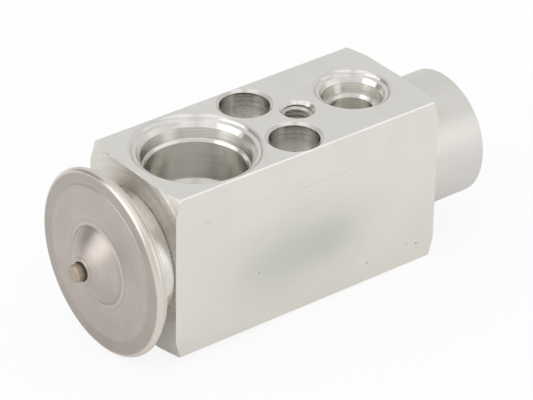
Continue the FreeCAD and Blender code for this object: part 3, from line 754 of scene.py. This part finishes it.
def moulded(name, tint, roughness):
    """Rubber or plastic out of a mould: a fine matt grain and faint dust."""
    material, wiring, surface = new_material(name, metallic=0.0)
    grain = blotched(wiring, 0.12, 0.3, 0.7)
    cloud = blotched(wiring, 1.2, 0.35, 0.65)
    wiring.feed(surface["Base Color"], wiring.shaded(tint, cloud, 0.85, 1.1))
    wiring.feed(surface["Normal"], bumped(wiring, grain, 0.5, 0.01))
    wiring.feed(surface["Roughness"], wiring.spread(grain, roughness, roughness + 0.12))
    return material


def finish(material, *nodes):
    """Gives a material to the named solids."""
    for name in nodes:
        slots = frame["nodes"][name].data.materials
        if not slots:
            slots.append(material)
        for index in range(len(slots)):
            slots[index] = material


class Shell:
    """Points and faces of one mesh, added ring by ring."""

    def __init__(self):
        self.points = []
        self.faces = []

    def ring(self, points):
        """Adds the points of one ring, and gives their numbers."""
        first = len(self.points)
        self.points.extend(points)
        return list(range(first, len(self.points)))

    def join(self, first, second, closed=True):
        """Fills the band between two rings of as many points."""
        count = len(first)
        for index in range(count if closed else count - 1):
            following = (index + 1) % count
            self.faces.append((first[index], first[following], second[following], second[index]))

    def fan(self, rim, centre):
        """Closes a ring with triangles about one point."""
        middle = self.ring([centre])[0]
        for index, corner in enumerate(rim):
            self.faces.append((corner, rim[(index + 1) % len(rim)], middle))

    def ridge(self, origin, along, across, start, end, pitch, foot, crest, shift=0.0):
        """Adds a right-handed thread's ridge, which fades in and out over half a turn.
        foot and crest are each a radius and a width."""
        third = along.cross(across)
        count = round((end - start) / pitch * STEPS_PER_TURN)
        before = None
        for step in range(count + 1):
            station = start + (end - start) * step / count
            turn = 2 * math.pi * (station / pitch + shift)
            outward = across * math.cos(turn) + third * math.sin(turn)
            size = min(STEPS_PER_TURN / 2, step + 1, count - step + 1) / (STEPS_PER_TURN / 2)
            top = foot[0] + (crest[0] - foot[0]) * size
            corners = [(-foot[1], foot[0]), (-crest[1], top), (crest[1], top), (foot[1], foot[0])]
            ring = self.ring([
                origin + along * (station + width / 2 * size) + outward * radius for width, radius in corners
            ])
            if before is None:
                self.faces.append(tuple(ring))
            else:
                self.join(before, ring)
            before = ring
        self.faces.append(tuple(before))

    def turned(self, profile):
        """Adds a piece turned about the X axis, from centre to centre, as (station, radius) points.
        A third value marks a point whose ring is a hexagon, its radius then half the width across flats."""
        side = 2 * math.pi / HEXAGON_SIDES
        before = None
        for station, radius, *hexagonal in profile[1:-1]:
            points = []
            for step in range(STEPS_PER_TURN):
                turn = 2 * math.pi * step / STEPS_PER_TURN
                corner = (turn + side / 2) % side - side / 2
                reach = radius / math.cos(corner) if hexagonal else radius
                points.append(Vector((station, reach * math.cos(turn), reach * math.sin(turn))))
            ring = self.ring(points)
            if before is None:
                self.fan(ring, Vector((profile[0][0], 0, 0)))
            else:
                self.join(before, ring)
            before = ring
        self.fan(before, Vector((profile[-1][0], 0, 0)))

    def piece(self, name, body, material):
        """Makes the mesh as a piece that rides on a body."""
        mesh = bpy.data.meshes.new(name)
        mesh.from_pydata(self.points, [], self.faces)
        working = bmesh.new()
        working.from_mesh(mesh)
        bmesh.ops.recalc_face_normals(working, faces=working.faces)
        working.to_mesh(mesh)
        working.free()
        mesh.shade_smooth()
        mesh.set_sharp_from_angle(angle=math.radians(25))
        mesh.materials.append(material)
        made = bpy.data.objects.new(name, mesh)
        bpy.context.scene.collection.objects.link(made)
        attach(made, body)
        return made


def thread_height(pitch):
    """Height of a 60 degree thread's flank."""
    return 5 / 8 * math.sqrt(3) / 2 * pitch


def top_hole_thread(sizes, material):
    """Thread of the hole in the top face, from under its chamfer to the end of the hole."""
    wall = THREADED_HOLE["dims"]["r_mm"] * MM
    top = Vector(THREADED_HOLE["pos_m"])
    depth_of_mount = BLOCK_BOX[1].z - top.z
    top.z = BLOCK_BOX[1].z
    end = depth_of_mount + THREADED_HOLE["dims"]["length_mm"] / 2 * MM - sizes.hole_pitch / 2
    foot = (wall + EMBED, sizes.hole_pitch * 7 / 8)
    crest = (wall - thread_height(sizes.hole_pitch), sizes.hole_pitch / 4)
    shell = Shell()
    shell.ridge(top, Vector((0, 0, -1)), Vector((1, 0, 0)), sizes.hole_thread_start, end, sizes.hole_pitch,
                foot, crest, shift=0.3)
    return shell.piece("top_hole_thread", "block", material)


def boss_thread(sizes, material):
    """Thread in the end of the boss, half a pitch away from the adjusting screw's."""
    end = BLOCK_BOX[1].x - sizes.boss_thread_recess
    foot = (sizes.boss_thread_radius + EMBED, sizes.boss_pitch * 7 / 8)
    crest = (sizes.boss_thread_radius - thread_height(sizes.boss_pitch), sizes.boss_pitch / 4)
    shell = Shell()
    shell.ridge(Vector((0, 0, 0)), Vector((1, 0, 0)), Vector((0, 1, 0)), end - sizes.boss_thread_length, end,
                sizes.boss_pitch, foot, crest, shift=0.5)
    return shell.piece("boss_thread", "block", material)


def threaded_adjusting_screw(sizes, material):
    """Adjusting screw with its nose, ring groove, thread and hexagon socket."""
    low, high = SCREW_BOX
    crest_radius = sizes.boss_thread_radius - sizes.thread_play
    root = crest_radius - thread_height(sizes.boss_pitch)
    land_start = low.x + sizes.screw_nose_length
    groove_start = land_start + sizes.screw_land_width
    groove_end = groove_start + sizes.screw_groove_width
    land_end = groove_end + sizes.screw_land_width
    thread_start = high.x - sizes.screw_thread_length
    key = sizes.hexagon_flats / 2
    mouth = key / math.cos(math.pi / HEXAGON_SIDES) + sizes.hexagon_lead / 2
    floor = high.x - sizes.hexagon_depth
    shell = Shell()
    shell.turned([
        (low.x, 0),
        (low.x, sizes.screw_nose_radius),
        (land_start, sizes.screw_nose_radius),
        (land_start, sizes.screw_land_radius),
        (groove_start, sizes.screw_land_radius),
        (groove_start, sizes.screw_groove_radius),
        (groove_end, sizes.screw_groove_radius),
        (groove_end, sizes.screw_land_radius),
        (land_end, sizes.screw_land_radius),
        (land_end, sizes.screw_neck_radius),
        (thread_start, sizes.screw_neck_radius),
        (thread_start, root - sizes.screw_chamfer / 2),
        (thread_start + sizes.screw_chamfer / 2, root),
        (high.x - sizes.screw_chamfer / 2, root),
        (high.x, root - sizes.screw_chamfer / 2),
        (high.x, mouth),
        (high.x - sizes.hexagon_lead, key, "hexagon"),
        (floor, key, "hexagon"),
        (floor, key * 0.8),
        (floor - sizes.hexagon_point, 0),
    ])
    shell.ridge(Vector((0, 0, 0)), Vector((1, 0, 0)), Vector((0, 1, 0)), thread_start + sizes.screw_chamfer,
                high.x - sizes.screw_chamfer, sizes.boss_pitch, (root - EMBED, sizes.boss_pitch * 3 / 4),
                (crest_radius, sizes.boss_pitch / 8))
    made = shell.piece("threaded_adjusting_screw", "adjuster", material)
    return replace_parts(made, "adjusting_screw")


def white_surroundings(studio):
    """World: white to the camera, dimmer to metal and above all behind the head, plain to matt surfaces."""
    world = bpy.data.worlds.new("white_surroundings")
    world.use_nodes = True
    world.node_tree.nodes.clear()
    wiring = Wiring(world.node_tree)
    path = wiring.node("LightPath").outputs
    direction = wiring.node("TexCoord").outputs["Generated"]
    behind = wiring.measure("DOT_PRODUCT", direction, DIM_DIRECTION)
    start, full = math.cos(DIM_REACH), math.cos(DIM_CORE)
    around = wiring.step(behind, start, full, studio.surround_level, studio.back_level)
    level = wiring.values(path["Is Glossy Ray"], studio.fill_level, around)
    through = wiring.either(path["Is Camera Ray"], path["Is Transmission Ray"])
    strength = wiring.either(level, through)
    background = wiring.node("Background", {"Color": (1.0, 1.0, 1.0, 1.0), "Strength": strength})
    output = wiring.node("OutputWorld")
    wiring.feed(output.inputs["Surface"], background.outputs[0])
    bpy.context.scene.world = world


def pale_floor(studio):
    """Floor that the head's rim and the block's far lower edge rest on."""
    material = bpy.data.materials.new("pale_floor")
    material.use_nodes = True
    material.node_tree.nodes.clear()
    wiring = Wiring(material.node_tree)
    matt = wiring.node("BsdfDiffuse", {"Color": solid(studio.floor_colour)})
    bright = wiring.node("Emission", {"Color": (1.0, 1.0, 1.0, 1.0), "Strength": 1.0})
    path = wiring.node("LightPath").outputs
    mirrored = wiring.either(path["Is Glossy Ray"], path["Is Transmission Ray"])
    white_share = wiring.values(mirrored, 0.0, 1 - studio.mirrored_shadow_share)
    white_share = wiring.values(path["Is Camera Ray"], white_share, 1 - studio.shadow_share)
    upper = wiring.node("MixShader", {"Fac": white_share})
    wiring.feed(upper.inputs[1], matt.outputs[0])
    wiring.feed(upper.inputs[2], bright.outputs[0])
    below = wiring.node("NewGeometry").outputs["Backfacing"]
    whole = wiring.node("MixShader", {"Fac": below})
    wiring.feed(whole.inputs[1], upper.outputs[0])
    wiring.feed(whole.inputs[2], wiring.node("BsdfTransparent").outputs[0])
    wiring.feed(wiring.node("OutputMaterial").inputs["Surface"], whole.outputs[0])

    rim_low = Vector((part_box("head_cap")[1].x, 0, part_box("head_cap")[0].z))
    slope = (BLOCK_BOX[0].z - rim_low.z) / (BLOCK_END - rim_low.x)
    reach = studio.floor_reach
    corners = [(-reach, -reach), (reach, -reach), (reach, reach), (-reach, reach)]
    points = [(x, y, rim_low.z + slope * (x - rim_low.x) - FLOOR_CLEARANCE) for x, y in corners]
    mesh = bpy.data.meshes.new("floor")
    mesh.from_pydata(points, [], [(0, 1, 2, 3)])
    mesh.materials.append(material)
    floor = bpy.data.objects.new("floor", mesh)
    bpy.context.scene.collection.objects.link(floor)


def soft_lamp(name, direction, along, distance, width, height, level):
    """Soft lamp that faces the part from a direction, its width along another. Level 1 is paper white."""
    data = bpy.data.lights.new(name, "AREA")
    data.shape = "RECTANGLE"
    data.size = width
    data.size_y = height
    data.energy = level * math.pi * width * height
    lamp = bpy.data.objects.new(name, data)
    bpy.context.scene.collection.objects.link(lamp)
    back = Vector(direction).normalized()
    height_axis = back.cross(Vector(along)).normalized()
    turn = Matrix((height_axis.cross(back), height_axis, back)).transposed().to_4x4()
    lamp.matrix_world = Matrix.Translation(back * distance) @ turn


def camera_axes(studio):
    """Right, up and back directions of the camera."""
    azimuth, elevation, roll = studio.camera_azimuth, studio.camera_elevation, studio.camera_roll
    back = Vector((
        math.sin(azimuth) * math.cos(elevation), -math.cos(azimuth) * math.cos(elevation), math.sin(elevation)
    ))
    level_right = Vector((math.cos(azimuth), math.sin(azimuth), 0))
    level_up = back.cross(level_right)
    right = level_right * math.cos(roll) + level_up * math.sin(roll)
    return right, back.cross(right), back


def front_camera(studio):
    """Long lens from the front left and above."""
    data = bpy.data.cameras.new("camera")
    data.sensor_width = SENSOR_WIDTH
    data.lens = studio.lens / MM
    data.clip_start = 0.1 * studio.camera_distance
    data.clip_end = 2 * studio.floor_reach + studio.camera_distance
    right, up, back = camera_axes(studio)
    camera = bpy.data.objects.new("camera", data)
    bpy.context.scene.collection.objects.link(camera)
    turn = Matrix((right, up, back)).transposed().to_4x4()
    camera.matrix_world = Matrix.Translation(Vector(studio.camera_aim) + back * studio.camera_distance) @ turn
    bpy.context.scene.camera = camera


class VALVE_OT_finish_block(bpy.types.Operator):
    """Gives the block its milled aluminium, and cuts the threads in its top face and its boss"""
    bl_idname = "valve.finish_block"
    bl_label = "Block and its threads"

    def execute(self, context):
        material = milled_aluminium(context.scene.valve_finishes)
        finish(material, "valve_body")
        top_hole_thread(context.scene.valve_sizes, material)
        boss_thread(context.scene.valve_sizes, material)
        return {"FINISHED"}


class VALVE_OT_finish_head(bpy.types.Operator):
    """Gives the power head's cap, housing and charge plug their steels"""
    bl_idname = "valve.finish_head"
    bl_label = "Power head"

    def execute(self, context):
        look = context.scene.valve_finishes
        finish(pressed_head_steel(look), "head_cap")
        finish(bright_housing_steel(look), "head_housing")
        finish(tinted_plug_steel(look), "charge_plug")
        return {"FINISHED"}


class VALVE_OT_finish_stem(bpy.types.Operator):
    """Gives the sheet, brass and ground steel pieces on the stem's axis their finishes"""
    bl_idname = "valve.finish_stem"
    bl_label = "Stem, seat and spring"

    def execute(self, context):
        look = context.scene.valve_finishes
        sheet = turned_metal("rolled_spring_sheet", look.sheet, look.wire, 0.30 * MM, 0.08, 0.22)
        finish(sheet, "diaphragm", "rod_seal_retainer", "carrier_damper")
        brass = turned_metal("turned_brass", look.brass, look.brass_tarnish, 0.16 * MM, 0.26, 0.24)
        finish(brass, "pressure_plate", "ball_carrier", "spring_seat")
        ground = turned_metal("ground_steel", look.rod, look.wire, 0.07 * MM, 0.14, 0.16)
        finish(ground, "sensing_rod", "push_pin", "seat_insert")
        finish(turned_metal("polished_ball_steel", look.ball, look.rod, 0.5 * MM, 0.02, 0.07), "valve_ball")
        finish(drawn_wire(look), "superheat_spring")
        return {"FINISHED"}


class VALVE_OT_finish_seals(bpy.types.Operator):
    """Gives the ring seals their rubber and the backing washer its plastic"""
    bl_idname = "valve.finish_seals"
    bl_label = "Seals"

    def execute(self, context):
        look = context.scene.valve_finishes
        rubber = moulded("moulded_rubber", look.rubber, 0.48)
        finish(rubber, "head_seal_ring", "rod_seal_ring", "adjusting_screw_seal")
        finish(moulded("backing_plastic", look.plastic, 0.38), "rod_seal_washer")
        return {"FINISHED"}


class VALVE_OT_make_adjusting_screw(bpy.types.Operator):
    """Makes the adjusting screw with its thread, ring groove and hexagon socket"""
    bl_idname = "valve.make_adjusting_screw"
    bl_label = "Adjusting screw"

    def execute(self, context):
        look = context.scene.valve_finishes
        brass = turned_metal("screw_brass", look.brass, look.brass_tarnish, 0.15 * MM, 0.24, 0.25)
        finish(brass, "adjusting_screw")
        threaded_adjusting_screw(context.scene.valve_sizes, brass)
        return {"FINISHED"}


class VALVE_OT_set_stage(bpy.types.Operator):
    """Sets the pale floor, the white surroundings, the soft lamps and the camera"""
    bl_idname = "valve.set_stage"
    bl_label = "Floor, lights and camera"

    def execute(self, context):
        studio = context.scene.valve_studio
        context.scene.view_settings.view_transform = "Standard"
        pale_floor(studio)
        white_surroundings(studio)
        for *lamp, level in LAMPS:
            soft_lamp(*lamp, getattr(studio, level))
        front_camera(studio)
        return {"FINISHED"}


class VALVE_PT_valve(bpy.types.Panel):
    """Lists the steps and their settings in the 3D view's sidebar"""
    bl_label = "Expansion valve"
    bl_idname = "VALVE_PT_valve"
    bl_space_type = "VIEW_3D"
    bl_region_type = "UI"
    bl_category = "Valve"

    def draw(self, context):
        for operator in OPERATORS:
            self.layout.operator(operator.bl_idname)
        for settings in (context.scene.valve_sizes, context.scene.valve_finishes, context.scene.valve_studio):
            box = self.layout.box()
            for name in type(settings).__annotations__:
                box.prop(settings, name)


SETTINGS = (ValveSizes, ValveFinishes, ValveStudio)
OPERATORS = (
    VALVE_OT_finish_block,
    VALVE_OT_finish_head,
    VALVE_OT_finish_stem,
    VALVE_OT_finish_seals,
    VALVE_OT_make_adjusting_screw,
    VALVE_OT_set_stage,
)


def register():
    """Registers the settings, the operators and the panel."""
    for made in (*SETTINGS, *OPERATORS, VALVE_PT_valve):
        bpy.utils.register_class(made)
    bpy.types.Scene.valve_sizes = bpy.props.PointerProperty(type=ValveSizes)
    bpy.types.Scene.valve_finishes = bpy.props.PointerProperty(type=ValveFinishes)
    bpy.types.Scene.valve_studio = bpy.props.PointerProperty(type=ValveStudio)


def unregister():
    """Takes everything out again."""
    del bpy.types.Scene.valve_sizes
    del bpy.types.Scene.valve_finishes
    del bpy.types.Scene.valve_studio
    for made in reversed((*SETTINGS, *OPERATORS, VALVE_PT_valve)):
        bpy.utils.unregister_class(made)


def main():
    """Registers the add-on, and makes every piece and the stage."""
    register()
    bpy.ops.valve.finish_block()
    bpy.ops.valve.finish_head()
    bpy.ops.valve.finish_stem()
    bpy.ops.valve.finish_seals()
    bpy.ops.valve.make_adjusting_screw()
    bpy.ops.valve.set_stage()


if __name__ == "__main__":
    main()
